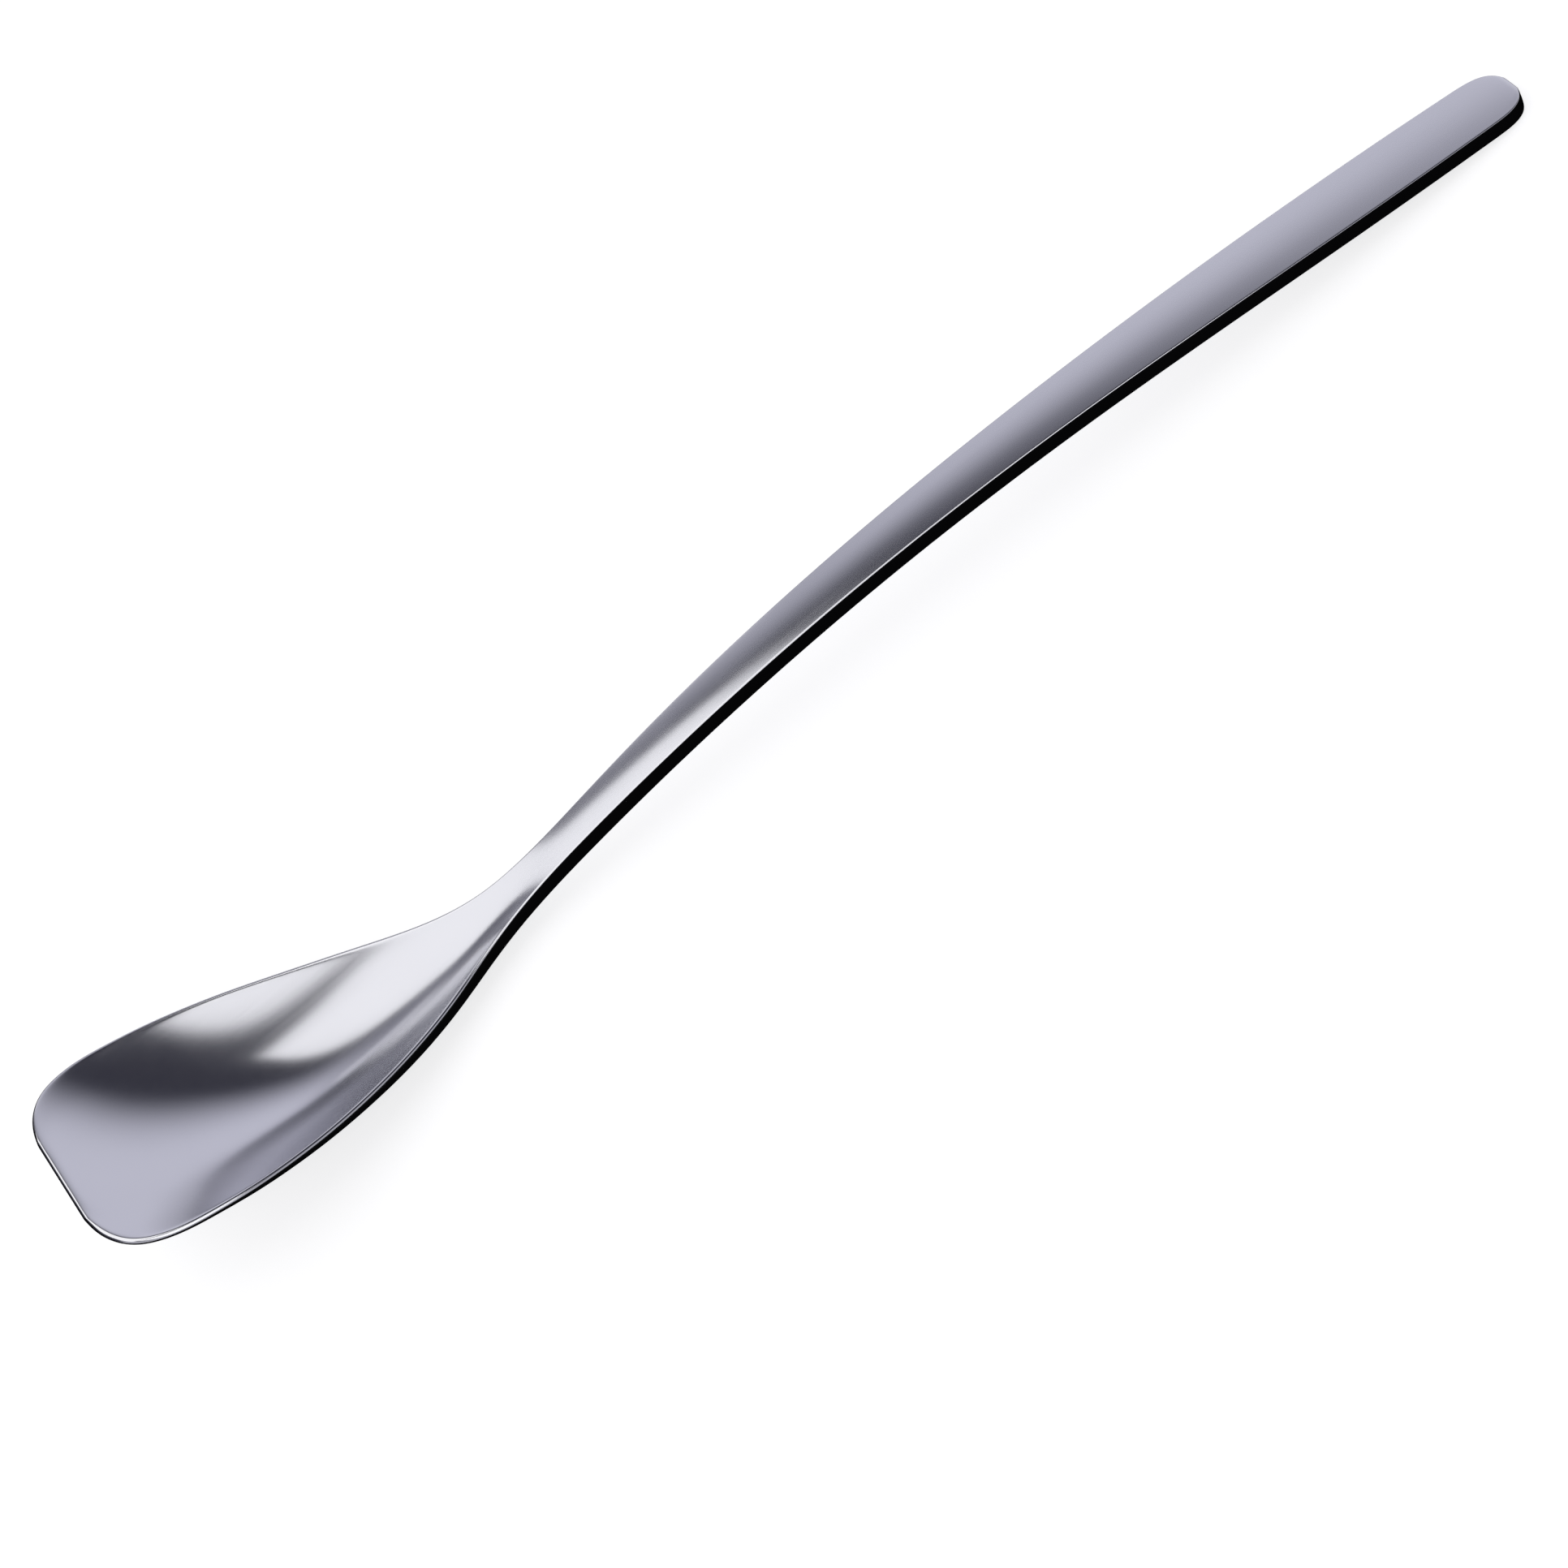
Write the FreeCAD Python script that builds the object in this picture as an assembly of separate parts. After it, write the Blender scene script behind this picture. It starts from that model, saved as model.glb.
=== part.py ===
import FreeCAD, Part
import math
import os

# Spatula-spoon forged from one bar of stainless steel: a dished blade with a straight tip,
# a narrow cranked neck and a slim arched handle with a rounded end.
# Millimetres. X runs from the tip edge to the handle end, Y is across, Z is up.
# The spoon rests on a table (Z = 0) on the heel under its blade and on the end of its handle.

# Plan, seen from above
length = 190.0
tip_edge_length = 9.6
tip_corner_length = 10.0
blade_width = 27.4
neck_from_tip = 59.0
heel_before_neck = 13.5
neck_width = 4.5
handle_width = 7.9
handle_widest_from_end = 22.0
handle_end_width = 7.3
handle_end_radius = 3.3

# Side view: heights of the upper face's edges above the table
tip_height = 15.4
heel_height = 4.65
arch_height = 10.35
arch_from_tip = 108.0

# Section: the blade is drawn thinner than the handle
handle_thickness = 2.1
tip_thickness = 1.0
dish_depth = 6.5
deepest_from_tip = 21.0
handle_crown = 0.22

# The bar reaches past the outline this far on every side before it is cut to shape
trim = 2.0

# The dish is a little steeper than a parabola near its middle: 0 is a parabola
dish_pinch = 0.15


def along_blade(share):
    """Distance from the tip of a place on the blade, as a share of the way to the neck."""
    return share * neck_from_tip


def along_handle(share):
    """Distance from the tip of a place on the handle, as a share of the way from the neck."""
    return neck_from_tip + share * (length - neck_from_tip)


def curve_through(points, start=None, end=None):
    """A smooth curve in the XY plane through the points, with optional end directions."""
    vectors = [FreeCAD.Vector(x, y, 0) for x, y in points]
    curve = Part.BSplineCurve()
    if start and end:
        start_direction = FreeCAD.Vector(*start)
        end_direction = FreeCAD.Vector(*end)
        curve.interpolate(vectors, InitialTangent=start_direction, FinalTangent=end_direction)
    else:
        curve.interpolate(vectors)
    return curve


def value_at(curve, x):
    """Height of a left-to-right curve above the X axis at x, found by halving."""
    low = curve.FirstParameter
    high = curve.LastParameter
    for _ in range(50):
        middle = (low + high) / 2
        if curve.value(middle).x < x:
            low = middle
        else:
            high = middle
    return curve.value(low).y


heel_from_tip = neck_from_tip - heel_before_neck

# Half width of the metal, from the end of the tip corner to the start of the handle's end
half_blade = blade_width / 2
half_neck = neck_width / 2
half_flare = (handle_width - neck_width) / 2
half_end = handle_end_width / 2
end_start = length - handle_end_radius
side_curve = curve_through(
    [
        (tip_corner_length, half_blade),
        (along_blade(0.34), half_blade * 0.943),
        (along_blade(0.51), half_blade * 0.770),
        (along_blade(0.68), half_blade * 0.512),
        (along_blade(0.80), half_neck + 0.137 * half_blade),
        (along_blade(0.90), half_neck + 0.025 * half_blade),
        (neck_from_tip, half_neck),
        (along_handle(0.10), half_neck + 0.11 * half_flare),
        (along_handle(0.30), half_neck + 0.37 * half_flare),
        (along_handle(0.60), half_neck + 0.77 * half_flare),
        (length - handle_widest_from_end, handle_width / 2),
        (length - handle_widest_from_end / 2, (handle_width / 2 + half_end) / 2),
        (end_start, half_end),
    ],
    start=(1, 0, 0),
    end=(1, 0, 0),
)

# Height of the upper face along its edges
edge_height_curve = curve_through(
    [
        (-trim, tip_height + 0.27 * trim),
        (0, tip_height),
        (along_blade(0.34), heel_height + 0.48 * (tip_height - heel_height)),
        (along_blade(0.59), heel_height + 0.12 * (tip_height - heel_height)),
        (heel_from_tip, heel_height),
        (neck_from_tip + 6, heel_height + 0.405 * (arch_height - heel_height)),
        (neck_from_tip + 24, heel_height + 0.825 * (arch_height - heel_height)),
        (arch_from_tip, arch_height),
        ((arch_from_tip + length) / 2, handle_thickness + 0.652 * (arch_height - handle_thickness)),
        (length, handle_thickness),
        (length + trim, handle_thickness - 0.13 * trim),
    ]
)

# Depth of the upper face's middle below its edges; below zero the face is crowned
dish_curve = curve_through(
    [
        (-trim, 0.0),
        (0, 0.0),
        (0.30 * deepest_from_tip, 0.42 * dish_depth),
        (0.62 * deepest_from_tip, 0.80 * dish_depth),
        (deepest_from_tip, dish_depth),
        ((deepest_from_tip + heel_from_tip) / 2, 0.69 * dish_depth),
        (heel_from_tip, 0.26 * dish_depth),
        (neck_from_tip - 5, 0.04 * dish_depth),
        (neck_from_tip + 4, -0.5 * handle_crown),
        (arch_from_tip, -handle_crown),
        (length, -handle_crown),
        (length + trim, -handle_crown),
    ]
)

# Thickness at the edges, measured straight down
thickness_curve = curve_through(
    [
        (-trim, tip_thickness),
        (0, tip_thickness),
        (deepest_from_tip, tip_thickness + 0.40 * (handle_thickness - tip_thickness)),
        (neck_from_tip, handle_thickness),
        (arch_from_tip, handle_thickness),
        (length, handle_thickness),
        (length + trim, handle_thickness),
    ]
)


def half_width_at(x):
    """Half width of the metal at x; the tip's cut corners count as uncut."""
    return value_at(side_curve, min(max(x, tip_corner_length), end_start))


def bowed_edge(x, half_span, edge_height, middle_height, half_width):
    """Curve across the bar that has its stated height at the middle and at the metal's edges."""
    points = []
    for share in (-1, -0.75, -0.5, -0.25, 0, 0.25, 0.5, 0.75, 1):
        y = share * half_span
        out = y / half_width
        rise = (1 + dish_pinch) * out**2 - dish_pinch * out**4
        points.append(FreeCAD.Vector(x, y, middle_height + rise * (edge_height - middle_height)))
    curve = Part.BSplineCurve()
    curve.interpolate(points)
    return curve.toShape()


def bar_section(x):
    """Closed section across the bar at x, wider than the finished metal by the trim."""
    half_width = half_width_at(x)
    half_span = half_width + trim
    upper = value_at(edge_height_curve, x)
    dish = value_at(dish_curve, x)
    thickness = value_at(thickness_curve, x)
    lower = upper - thickness
    top = bowed_edge(x, half_span, upper, upper - dish, half_width)
    bottom = bowed_edge(x, half_span, lower, lower - max(dish, 0.0), half_width)
    right_side = Part.makeLine(top.Vertexes[-1].Point, bottom.Vertexes[-1].Point)
    left_side = Part.makeLine(bottom.Vertexes[0].Point, top.Vertexes[0].Point)
    return Part.Wire([top, right_side, bottom, left_side])


def plan_outline():
    """Outline of the finished metal seen from above, as one closed wire."""
    half_tip = tip_edge_length / 2
    corner_curve = curve_through(
        [
            (0, half_tip),
            (0.22 * tip_corner_length, half_tip + 0.74 * (half_blade - half_tip)),
            (tip_corner_length, half_blade),
        ],
        start=(0, 1, 0),
        end=(1, 0, 0),
    )
    arc_centre_y = half_end - handle_end_radius
    reach = handle_end_radius * 0.5 ** 0.5
    end_arc = Part.Arc(
        FreeCAD.Vector(end_start, half_end, 0),
        FreeCAD.Vector(end_start + reach, arc_centre_y + reach, 0),
        FreeCAD.Vector(length, arc_centre_y, 0),
    )
    near_side = [corner_curve.toShape(), side_curve.toShape(), end_arc.toShape()]
    across = FreeCAD.Vector(0, 1, 0)
    far_side = [edge.mirror(FreeCAD.Vector(0, 0, 0), across) for edge in near_side]
    tip = Part.makeLine(FreeCAD.Vector(0, -half_tip, 0), FreeCAD.Vector(0, half_tip, 0))
    end = Part.makeLine(
        FreeCAD.Vector(length, arc_centre_y, 0), FreeCAD.Vector(length, -arc_centre_y, 0)
    )
    edges = Part.sortEdges([tip, end] + near_side + far_side)[0]
    return Part.Wire(edges)


def bent_bar():
    """The bar, drawn thin at the blade, dished and bent, before it is cut to the outline."""
    places = [-trim, 0.0]
    places += [along_blade(share) for share in (0.06, 0.14, 0.24, 0.36, 0.48, 0.60, 0.72, 0.82, 0.91)]
    places += [along_handle(share) for share in (0.0, 0.08, 0.18, 0.30, 0.45, 0.60, 0.75, 0.90)]
    places += [length, length + trim]
    return Part.makeLoft([bar_section(x) for x in places], True, False)


def cut_to_outline(bar):
    """The bar with everything outside the plan outline cut away."""
    outline = Part.Face(plan_outline())
    column_height = 2 * (tip_height + arch_height + dish_depth)
    column = outline.extrude(FreeCAD.Vector(0, 0, 2 * column_height))
    column.translate(FreeCAD.Vector(0, 0, -column_height))
    return bar.common(column).Solids[0]


def underside_height(x):
    """Height of the middle of the lower face above the table, before the spoon is set down."""
    upper = value_at(edge_height_curve, x)
    return upper - value_at(thickness_curve, x) - max(value_at(dish_curve, x), 0.0)


def set_down(metal):
    """Tilt the spoon about the end of its handle until the blade's heel meets the table,
    and put the origin midway between its two ends."""
    places = [along_blade(step / 100) for step in range(1, 100)]
    tilt = min(math.atan2(underside_height(x), length - x) for x in places)
    handle_end = FreeCAD.Vector(length, 0, 0)
    metal.rotate(handle_end, FreeCAD.Vector(0, 1, 0), -math.degrees(tilt))
    box = metal.optimalBoundingBox()
    metal.translate(FreeCAD.Vector(-(box.XMin + box.XMax) / 2, 0, 0))
    return metal


os.makedirs("parts", exist_ok=True)
set_down(cut_to_outline(bent_bar())).exportStep("parts/spatula_spoon.step")
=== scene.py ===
# Spatula-spoon in soft-polished steel on a pale table.
# Metres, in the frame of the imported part: X from the tip to the handle's end, Z up from the table.
import math

import bmesh
import bpy
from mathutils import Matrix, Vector


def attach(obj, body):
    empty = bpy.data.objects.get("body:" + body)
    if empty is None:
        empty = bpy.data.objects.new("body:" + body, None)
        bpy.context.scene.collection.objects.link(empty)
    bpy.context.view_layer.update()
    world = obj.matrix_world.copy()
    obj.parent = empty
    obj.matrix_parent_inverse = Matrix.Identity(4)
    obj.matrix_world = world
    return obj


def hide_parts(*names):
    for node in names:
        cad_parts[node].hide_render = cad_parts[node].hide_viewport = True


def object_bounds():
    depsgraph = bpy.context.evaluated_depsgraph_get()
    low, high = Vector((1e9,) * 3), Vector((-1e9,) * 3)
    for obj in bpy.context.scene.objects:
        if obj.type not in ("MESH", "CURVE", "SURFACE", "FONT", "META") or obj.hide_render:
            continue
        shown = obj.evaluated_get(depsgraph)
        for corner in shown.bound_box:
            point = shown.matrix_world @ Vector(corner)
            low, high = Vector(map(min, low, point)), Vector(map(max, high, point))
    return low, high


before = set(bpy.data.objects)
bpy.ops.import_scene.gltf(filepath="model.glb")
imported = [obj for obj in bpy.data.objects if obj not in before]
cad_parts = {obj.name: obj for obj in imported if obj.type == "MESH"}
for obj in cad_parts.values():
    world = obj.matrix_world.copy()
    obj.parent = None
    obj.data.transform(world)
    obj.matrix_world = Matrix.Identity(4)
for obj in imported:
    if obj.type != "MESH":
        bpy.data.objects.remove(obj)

cad_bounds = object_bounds()
MM = 0.001

METAL_NODE = "spatula_spoon"

# ---- The metal, row by row from the tip to the handle's end -----------------------------------
# Each row: distance from the tip, half width, height of the upper face's edges above the table,
# depth of its middle below those edges, thickness, and how far the faces' edges stand in from
# the widest part of the rounded side. Millimetres.
METAL_ROWS = [
    (-0.15, 5.9, 15.6, 0.0, 1.0, 0.34),
    (0.15, 8.15, 15.5, 0.1, 1.0, 0.34),
    (1.15, 10.55, 15.2, 0.45, 1.0, 0.34),
    (3.2, 12.65, 14.65, 1.4, 1.05, 0.34),
    (7.0, 13.75, 13.7, 3.25, 1.1, 0.34),
    (11.0, 13.75, 12.6, 4.8, 1.15, 0.34),
    (15.0, 13.6, 11.45, 5.9, 1.3, 0.34),
    (19.0, 13.1, 10.3, 6.65, 1.4, 0.34),
    (24.0, 12.2, 8.85, 6.85, 1.5, 0.34),
    (30.0, 10.55, 7.15, 5.65, 1.65, 0.34),
    (36.0, 8.6, 5.75, 4.05, 1.8, 0.3),
    (42.0, 6.2, 4.75, 2.5, 1.9, 0.3),
    (47.0, 4.1, 4.55, 1.4, 1.95, 0.24),
    (52.0, 2.7, 4.85, 0.5, 2.05, 0.18),
    (57.5, 2.2, 5.65, -0.05, 2.1, 0.12),
    (63.0, 2.2, 6.6, -0.17, 2.15, 0.12),
    (71.0, 2.4, 7.95, -0.22, 2.15, 0.12),
    (82.0, 2.65, 9.35, -0.26, 2.15, 0.12),
    (96.0, 2.85, 10.3, -0.29, 2.15, 0.12),
    (112.0, 3.1, 10.4, -0.3, 2.1, 0.12),
    (130.0, 3.4, 9.45, -0.3, 2.1, 0.12),
    (148.0, 3.8, 7.65, -0.3, 2.1, 0.12),
    (164.0, 3.98, 5.6, -0.26, 2.1, 0.12),
    (176.0, 3.92, 4.0, -0.22, 2.1, 0.12),
    (184.0, 3.74, 2.9, -0.18, 2.1, 0.12),
    (187.3, 3.68, 2.45, -0.16, 2.1, 0.12),
    (189.3, 2.75, 2.2, -0.1, 2.1, 0.12),
    (190.0, 1.15, 2.1, -0.05, 2.1, 0.12),
]
# The rows next to the tip bow: their middles stand this much further in than their ends, by row
TIP_BOW = {1: 0.75, 2: 0.55, 3: 0.3}
# The columns between the centre line and the edge's band, as shares of the half width
COLUMN_SHARES = [0.0, 0.26, 0.5, 0.75]
LAST_ROW = len(METAL_ROWS) - 1
LAST_COLUMN = len(COLUMN_SHARES) + 1
# The dish is a little steeper than a parabola near its middle: 0 is a parabola
DISH_PINCH = 0.15
SMOOTHING_LEVELS = 3
# The face bends into its rounded edge from this many insets in from the widest part
EDGE_REACH = 2.2
# The side's rounded bands: their depth in insets, and the most of the thickness each may take
SIDE_BAND = 1.2
SIDE_BAND_LIMIT = 0.42
# The side has three bands. The first comes out to the widest part, the last goes back in.
BAND_OUTWARD = {1: 1, 2: 0, 3: -1}
STRAIGHT_BAND = 2

# ---- The finish -------------------------------------------------------------------------------
STEEL_COLOUR = (0.72, 0.72, 0.75, 1.0)
STEEL_SMEAR_COLOUR = (0.70, 0.70, 0.735, 1.0)
STEEL_RIM_COLOUR = (0.78, 0.78, 0.80, 1.0)
STEEL_ROUGHNESS = 0.19
# The range that a noise keeps to over most of a surface
NOISE_RANGE = (0.3, 0.7)
# How much the polishing lines, the smears and the rubbed rim change the roughness
LINE_ROUGHNESS = 0.01
SMEAR_ROUGHNESS = 0.012
RIM_ROUGHNESS = -0.04
LINE_BUMP_STRENGTH = 0.02
LINE_BUMP_DEPTH = 0.01 * MM

# ---- The surroundings -------------------------------------------------------------------------
TABLE_SIZE = 6
TABLE_COLOUR = (0.5, 0.5, 0.505, 1)
TABLE_GLOW = 0.74
DARK_WALL = (0.038, 0.038, 0.053, 1)
PALE_FRONT = (0.42, 0.42, 0.47, 1)
GREY_WALL = (0.68, 0.68, 0.78, 1)
SOFT_WHITE = (1.015, 1.015, 1.02)
# Each softbox: name, place, turn about X, Y and Z from facing down, width and depth, radiance
SOFTBOXES = [
    ("overhead_softbox", (-4.76, 0.93, 4.0), (0, 0, 28), (8.8, 8.8), 1.1),
    ("front_softbox", (-0.2, -7.25, 4.0), (0, 0, 7), (5.5, 9.5), 1.1),
    ("window_behind", (-0.6, 5.0, 1.9), (-90, 0, 0), (1.2, 2.0), 0.35),
]
# The camera's place, and its turn in degrees about X, Y and Z from looking straight down
CAMERA_PLACE = (-0.028984, -0.278897, 0.32446)
CAMERA_TURN = (33.655, 22.799, -33.736)
CAMERA_SENSOR = 36
CAMERA_LENS = 93.17


# ---- Shaping the metal ------------------------------------------------------------------------
def deselect_everything():
    if bpy.context.mode != "OBJECT":
        bpy.ops.object.mode_set(mode="OBJECT")
    bpy.ops.object.select_all(action="DESELECT")


def choose(mesh_in_edit, wanted):
    """Selects exactly the vertices that the test wanted(vertex) accepts."""
    mesh_in_edit.select_mode = {"VERT"}
    for vertex in mesh_in_edit.verts:
        vertex.select_set(False)
    for vertex in mesh_in_edit.verts:
        if wanted(vertex):
            vertex.select_set(True)
    mesh_in_edit.select_flush_mode()


def apply_modifier(piece, name):
    bpy.context.view_layer.objects.active = piece
    piece.select_set(True)
    bpy.ops.object.modifier_apply(modifier=name)


def end_side(row):
    """-1 on the tip's row, 1 on the row at the handle's end, 0 on the rows between."""
    return (row == LAST_ROW) - (row == 0)


def outline_normal(row):
    """The way out of the plan outline at a row's ends: its share along X, and its share across."""
    before = METAL_ROWS[max(row - 1, 0)]
    after = METAL_ROWS[min(row + 1, LAST_ROW)]
    run = Vector((after[0] - before[0], after[1] - before[1])).normalized()
    return -run.y, run.x


def place_in_plan(row, column):
    """Where a point of the upper face is: its distance from the tip, and across from the middle."""
    from_tip, half_width, _, _, _, inset = METAL_ROWS[row]
    count = abs(column)
    along_share, across_share = outline_normal(row)
    if count < len(COLUMN_SHARES):
        step_in = 0.0
        across = COLUMN_SHARES[count] * half_width
        from_tip += TIP_BOW.get(row, 0) * (1 - COLUMN_SHARES[count] ** 4)
    else:
        step_in = inset if count == LAST_COLUMN else EDGE_REACH * inset
        across = half_width - across_share * step_in
    if end_side(row):
        from_tip -= end_side(row) * inset
    else:
        from_tip -= along_share * step_in
    return from_tip, math.copysign(across, column)


def metal_sheet():
    """The upper face as a coarse sheet: a grid whose rows and columns are moved into place."""
    deselect_everything()
    bpy.ops.mesh.primitive_grid_add(
        x_subdivisions=LAST_ROW, y_subdivisions=2 * LAST_COLUMN, size=2 * MM, location=(0, 0, 0)
    )
    sheet = bpy.context.active_object
    sheet.name = "spoon_metal"
    bpy.ops.object.mode_set(mode="EDIT")
    bpy.ops.mesh.select_mode(type="VERT")
    edit = bmesh.from_edit_mesh(sheet.data)
    row_of = edit.verts.layers.int.new("row")
    column_of = edit.verts.layers.int.new("column")
    rim_of = edit.verts.layers.float.new("rim")
    for vertex in edit.verts:
        vertex[row_of] = round((vertex.co.x / MM + 1) / 2 * LAST_ROW)
        vertex[column_of] = round(vertex.co.y / MM * LAST_COLUMN)
        at_end = vertex[row_of] in (0, LAST_ROW)
        vertex[rim_of] = 1.0 if at_end or abs(vertex[column_of]) == LAST_COLUMN else 0.0
    tip_x = cad_bounds[0][0]
    for row, (_, half_width, height, dish, _, _) in enumerate(METAL_ROWS):
        for column in range(-LAST_COLUMN, LAST_COLUMN + 1):
            from_tip, across = place_in_plan(row, column)
            out = across / half_width
            sink = dish * (1 - (1 + DISH_PINCH) * out**2 + DISH_PINCH * out**4)
            place = Vector((tip_x + from_tip * MM, across * MM, (height - sink) * MM))
            choose(edit, lambda v: v[row_of] == row and v[column_of] == column)
            start = next(v.co.copy() for v in edit.verts if v.select)
            bpy.ops.transform.translate(value=place - start)
    bpy.ops.object.mode_set(mode="OBJECT")
    return sheet


def thicken(sheet):
    """Draws the sheet down into a closed body, in three bands, each row to its own thickness."""
    bpy.ops.object.mode_set(mode="EDIT")
    bpy.ops.mesh.select_all(action="SELECT")
    edit = bmesh.from_edit_mesh(sheet.data)
    edit.verts.layers.int.new("layer")
    for layer, outward in BAND_OUTWARD.items():
        bpy.ops.mesh.extrude_region_move()
        edit = bmesh.from_edit_mesh(sheet.data)
        layer_of = edit.verts.layers.int["layer"]
        row_of = edit.verts.layers.int["row"]
        column_of = edit.verts.layers.int["column"]
        for vertex in edit.verts:
            if vertex.select:
                vertex[layer_of] = layer
        for row, (_, _, _, _, thickness, inset) in enumerate(METAL_ROWS):
            band = min(SIDE_BAND * inset, SIDE_BAND_LIMIT * thickness)
            drop = thickness - 2 * band if layer == STRAIGHT_BAND else band
            push = outward * inset * MM
            along_share, across_share = outline_normal(row)
            # A whole end row is drawn along X, so its outermost points aren't drawn that way again
            side_along = 0 if end_side(row) else along_share * push
            choose(edit, lambda v: v[row_of] == row and v[layer_of] == layer)
            bpy.ops.transform.translate(value=(end_side(row) * push, 0, -drop * MM))
            for side in (-1, 1):
                edge_column = side * LAST_COLUMN
                choose(
                    edit,
                    lambda v: v[row_of] == row
                    and v[layer_of] == layer
                    and v[column_of] == edge_column,
                )
                side_step = (side_along, side * across_share * push, 0)
                bpy.ops.transform.translate(value=side_step)
        # The next band is drawn from this one, so this one alone is left selected
        choose(edit, lambda v: v[layer_of] == layer)
    bpy.ops.mesh.select_all(action="SELECT")
    bpy.ops.mesh.normals_make_consistent(inside=False)
    bpy.ops.object.mode_set(mode="OBJECT")
    return sheet


def smooth_out(piece):
    """Subdivides the coarse body into the finished polished surface."""
    rounding = piece.modifiers.new("rounding", "SUBSURF")
    rounding.levels = SMOOTHING_LEVELS
    rounding.render_levels = SMOOTHING_LEVELS
    apply_modifier(piece, "rounding")
    bpy.ops.object.shade_smooth()
    return piece


# ---- The steel --------------------------------------------------------------------------------
def new_group(name, inputs, outputs):
    """An empty node group with its named sockets: inputs as (name, type, value)."""
    group = bpy.data.node_groups.new(name, "ShaderNodeTree")
    for label, kind, value in inputs:
        socket = group.interface.new_socket(label, in_out="INPUT", socket_type=kind)
        socket.default_value = value
    for label, kind in outputs:
        group.interface.new_socket(label, in_out="OUTPUT", socket_type=kind)
    entry = group.nodes.new("NodeGroupInput")
    leave = group.nodes.new("NodeGroupOutput")
    return group, entry, leave


def node_in(tree, kind, values=None, links=None, **settings):
    """Adds a node, sets its properties and input values, and links its inputs."""
    node = tree.nodes.new(kind)
    for name, value in settings.items():
        setattr(node, name, value)
    for name, value in (values or {}).items():
        node.inputs[name].default_value = value
    for name, source in (links or {}).items():
        tree.links.new(source, node.inputs[name])
    return node


def math_in(tree, operation, first, second):
    """A Math node whose two inputs are each a number or another node's output."""
    node = tree.nodes.new("ShaderNodeMath")
    node.operation = operation
    for index, item in enumerate((first, second)):
        if isinstance(item, (int, float)):
            node.inputs[index].default_value = item
        else:
            tree.links.new(item, node.inputs[index])
    return node.outputs[0]


def map_range_in(tree, value, old_range, new_range, interpolation="LINEAR"):
    """The output of a Map Range node, which takes a value from its old range to a new one."""
    node = node_in(
        tree,
        "ShaderNodeMapRange",
        interpolation_type=interpolation,
        values={
            "From Min": old_range[0],
            "From Max": old_range[1],
            "To Min": new_range[0],
            "To Max": new_range[1],
        },
        links={"Value": value},
    )
    return node.outputs[0]


def polishing_lines():
    """Node group: fine lines left by the polishing wheel along the metal, and its soft smears."""
    group, entry, leave = new_group(
        "polishing_lines",
        [("Lines per metre", "NodeSocketFloat", 2600.0), ("Stretch", "NodeSocketFloat", 0.012)],
        [("Lines", "NodeSocketFloat"), ("Smears", "NodeSocketFloat")],
    )
    place = node_in(group, "ShaderNodeTexCoord").outputs["Object"]
    along = math_in(group, "MULTIPLY", entry.outputs["Lines per metre"], entry.outputs["Stretch"])
    scale = node_in(group, "ShaderNodeCombineXYZ")
    group.links.new(along, scale.inputs["X"])
    group.links.new(entry.outputs["Lines per metre"], scale.inputs["Y"])
    group.links.new(entry.outputs["Lines per metre"], scale.inputs["Z"])
    stretched = node_in(group, "ShaderNodeVectorMath", operation="MULTIPLY")
    group.links.new(place, stretched.inputs[0])
    group.links.new(scale.outputs[0], stretched.inputs[1])
    lines = node_in(
        group,
        "ShaderNodeTexNoise",
        values={"Scale": 1.0, "Detail": 3.0, "Roughness": 0.6},
        links={"Vector": stretched.outputs[0]},
    )
    smears = node_in(
        group,
        "ShaderNodeTexNoise",
        values={"Scale": 70.0, "Detail": 2.0, "Roughness": 0.5, "Distortion": 0.4},
        links={"Vector": place},
    )
    group.links.new(lines.outputs[0], leave.inputs["Lines"])
    group.links.new(smears.outputs[0], leave.inputs["Smears"])
    return group


def rim_wear():
    """Node group: where handling has brightened the rim, broken up by a fine noise."""
    group, entry, leave = new_group(
        "rim_wear",
        [("Reach", "NodeSocketFloat", 0.5), ("Breakup", "NodeSocketFloat", 0.35)],
        [("Wear", "NodeSocketFloat")],
    )
    rim = node_in(group, "ShaderNodeAttribute", attribute_name="rim").outputs["Fac"]
    place = node_in(group, "ShaderNodeTexCoord").outputs["Object"]
    speckle = node_in(
        group,
        "ShaderNodeTexNoise",
        values={"Scale": 420.0, "Detail": 3.0},
        links={"Vector": place},
    ).outputs[0]
    broken = math_in(group, "MULTIPLY", speckle, entry.outputs["Breakup"])
    ragged = math_in(group, "SUBTRACT", rim, broken)
    worn = node_in(
        group,
        "ShaderNodeMapRange",
        values={"From Min": 0.0, "To Min": 0.0, "To Max": 1.0},
        links={"Value": ragged, "From Max": entry.outputs["Reach"]},
    )
    group.links.new(worn.outputs[0], leave.inputs["Wear"])
    return group


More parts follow.
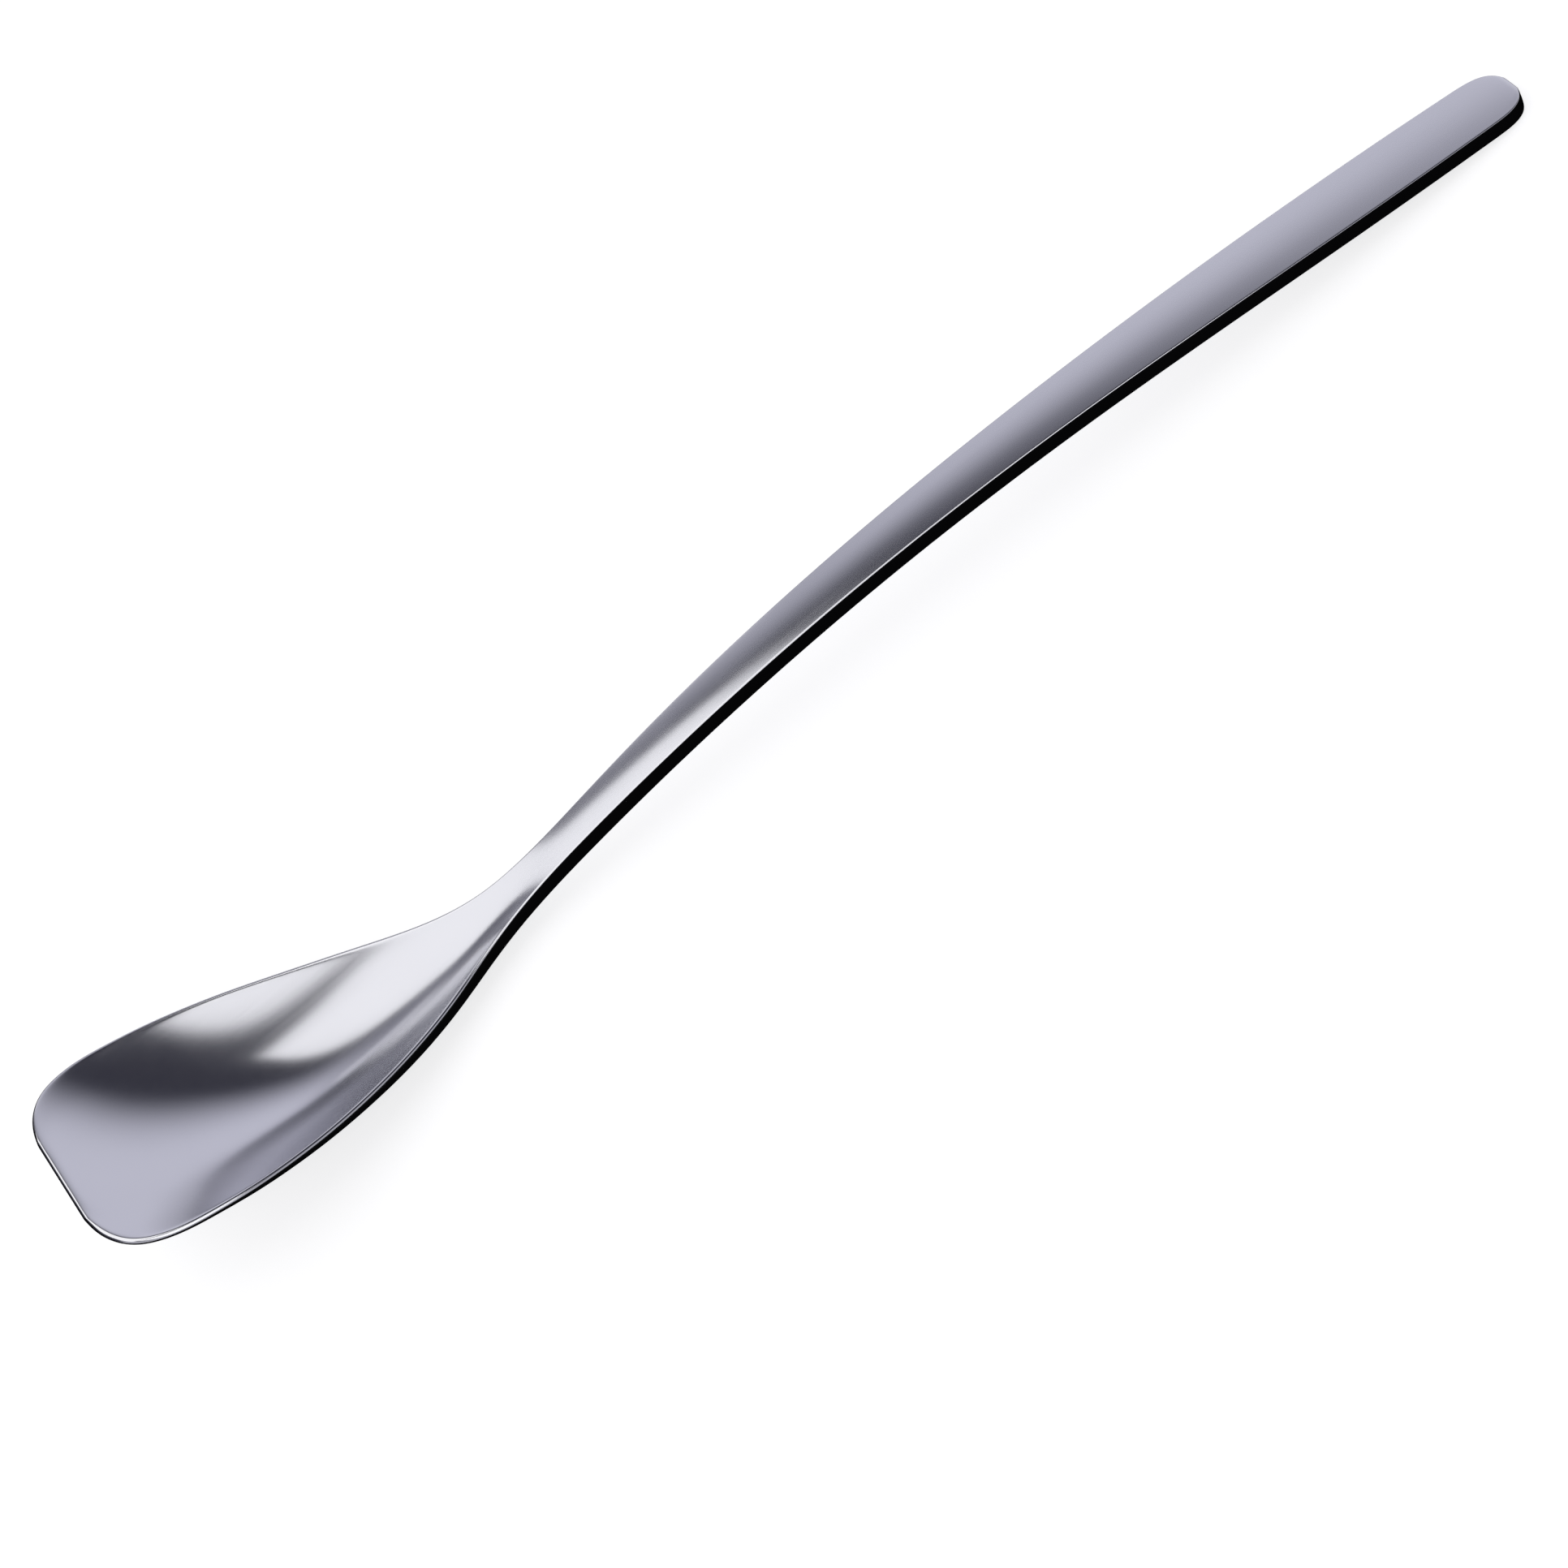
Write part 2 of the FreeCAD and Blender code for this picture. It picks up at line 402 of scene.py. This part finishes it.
def polished_steel():
    """Stainless steel with a soft mirror polish."""
    material = bpy.data.materials.new("polished_steel")
    material.use_nodes = True
    tree = material.node_tree
    steel = tree.nodes["Principled BSDF"]
    steel.inputs["Metallic"].default_value = 1.0
    polish = node_in(tree, "ShaderNodeGroup")
    polish.node_tree = polishing_lines()
    wear = node_in(tree, "ShaderNodeGroup")
    wear.node_tree = rim_wear()

    colour = node_in(
        tree,
        "ShaderNodeMix",
        data_type="RGBA",
        links={"Factor": polish.outputs["Smears"]},
    )
    colour.inputs[6].default_value = STEEL_COLOUR
    colour.inputs[7].default_value = STEEL_SMEAR_COLOUR
    brightened = node_in(tree, "ShaderNodeMix", data_type="RGBA")
    brightened.inputs[7].default_value = STEEL_RIM_COLOUR
    tree.links.new(colour.outputs[2], brightened.inputs[6])
    tree.links.new(wear.outputs["Wear"], brightened.inputs["Factor"])
    tree.links.new(brightened.outputs[2], steel.inputs["Base Color"])

    line_range = (STEEL_ROUGHNESS - LINE_ROUGHNESS, STEEL_ROUGHNESS + LINE_ROUGHNESS)
    smear_range = (-SMEAR_ROUGHNESS, SMEAR_ROUGHNESS)
    lined = map_range_in(tree, polish.outputs["Lines"], NOISE_RANGE, line_range)
    smeared = map_range_in(tree, polish.outputs["Smears"], NOISE_RANGE, smear_range)
    roughness = math_in(tree, "ADD", lined, smeared)
    rubbed = math_in(tree, "MULTIPLY", wear.outputs["Wear"], RIM_ROUGHNESS)
    tree.links.new(math_in(tree, "ADD", roughness, rubbed), steel.inputs["Roughness"])

    bump = node_in(
        tree,
        "ShaderNodeBump",
        values={"Strength": LINE_BUMP_STRENGTH, "Distance": LINE_BUMP_DEPTH},
        links={"Height": polish.outputs["Lines"]},
    )
    tree.links.new(bump.outputs[0], steel.inputs["Normal"])
    return material


spoon = smooth_out(thicken(metal_sheet()))
spoon.data.materials.clear()
spoon.data.materials.append(polished_steel())
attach(spoon, "root")
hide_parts(METAL_NODE)


# ---- Table, walls, lights and camera ----------------------------------------------------------
def table_top():
    """A pale table that glows softly. It isn't mirrored in the metal, whose sides stay dark."""
    deselect_everything()
    bpy.ops.mesh.primitive_plane_add(size=TABLE_SIZE, location=(0, 0, 0))
    top = bpy.context.active_object
    top.name = "table"
    top.visible_glossy = False
    paint = bpy.data.materials.new("table_paint")
    paint.use_nodes = True
    surface = paint.node_tree.nodes["Principled BSDF"]
    surface.inputs["Base Color"].default_value = TABLE_COLOUR
    surface.inputs["Emission Color"].default_value = (1, 1, 1, 1)
    surface.inputs["Emission Strength"].default_value = TABLE_GLOW
    surface.inputs["Roughness"].default_value = 0.9
    surface.inputs["Specular IOR Level"].default_value = 0.0
    top.data.materials.append(paint)
    return top


def add_softbox(name, place, turn, size, radiance):
    """A flat panel of light: turn is in degrees, and radiance is how bright the panel looks."""
    data = bpy.data.lights.new(name, "AREA")
    data.shape = "RECTANGLE"
    data.size = size[0]
    data.size_y = size[1]
    data.energy = radiance * math.pi * size[0] * size[1]
    data.color = SOFT_WHITE
    lamp = bpy.data.objects.new(name, data)
    bpy.context.scene.collection.objects.link(lamp)
    lamp.location = place
    lamp.rotation_euler = [math.radians(angle) for angle in turn]
    lamp.visible_camera = False


def add_camera():
    data = bpy.data.cameras.new("camera")
    camera = bpy.data.objects.new("camera", data)
    bpy.context.scene.collection.objects.link(camera)
    camera.location = CAMERA_PLACE
    camera.rotation_euler = [math.radians(angle) for angle in CAMERA_TURN]
    data.sensor_width = CAMERA_SENSOR
    data.lens = CAMERA_LENS
    data.clip_start = 0.01
    bpy.context.scene.camera = camera


def add_studio():
    """The studio's walls: grey behind and to the right, a low pale band in front, and dark
    elsewhere. Below the table they are all but black."""
    world = bpy.data.worlds.new("studio")
    bpy.context.scene.world = world
    world.use_nodes = True
    tree = world.node_tree
    direction = node_in(tree, "ShaderNodeTexCoord").outputs["Generated"]
    parts = node_in(tree, "ShaderNodeSeparateXYZ", links={"Vector": direction}).outputs

    # The grey wall is strongest behind and somewhat to the right, and fades to the left and low down
    backward = math_in(tree, "ADD", math_in(tree, "MULTIPLY", parts["X"], 0.55), parts["Y"])
    wall = map_range_in(tree, backward, (0.4, 1.05), (0, 1), "SMOOTHSTEP")
    lifted = math_in(tree, "ADD", math_in(tree, "MULTIPLY", parts["Z"], 0.8), parts["X"])
    corner = map_range_in(tree, lifted, (-0.1, 0.6), (0.3, 1))

    # The pale band keeps to the front and below about 30 degrees up
    facing = math_in(tree, "SUBTRACT", parts["Y"], math_in(tree, "MULTIPLY", parts["X"], 0.25))
    front = map_range_in(tree, facing, (0.1, -0.15), (0, 1), "SMOOTHSTEP")
    low = map_range_in(tree, parts["Z"], (0.62, 0.4), (0, 1), "SMOOTHSTEP")
    band = node_in(tree, "ShaderNodeMix", data_type="RGBA")
    tree.links.new(math_in(tree, "MULTIPLY", front, low), band.inputs["Factor"])
    band.inputs[6].default_value = DARK_WALL
    band.inputs[7].default_value = PALE_FRONT

    grey = node_in(tree, "ShaderNodeMix", data_type="RGBA")
    tree.links.new(math_in(tree, "MULTIPLY", wall, corner), grey.inputs["Factor"])
    tree.links.new(band.outputs[2], grey.inputs[6])
    grey.inputs[7].default_value = GREY_WALL
    above = map_range_in(tree, parts["Z"], (-0.05, 0.03), (0.004, 1))
    background = tree.nodes["Background"]
    tree.links.new(grey.outputs[2], background.inputs["Color"])
    tree.links.new(above, background.inputs["Strength"])


table_top()
add_camera()
add_studio()
for softbox in SOFTBOXES:
    add_softbox(*softbox)
bpy.context.scene.view_settings.view_transform = "Standard"
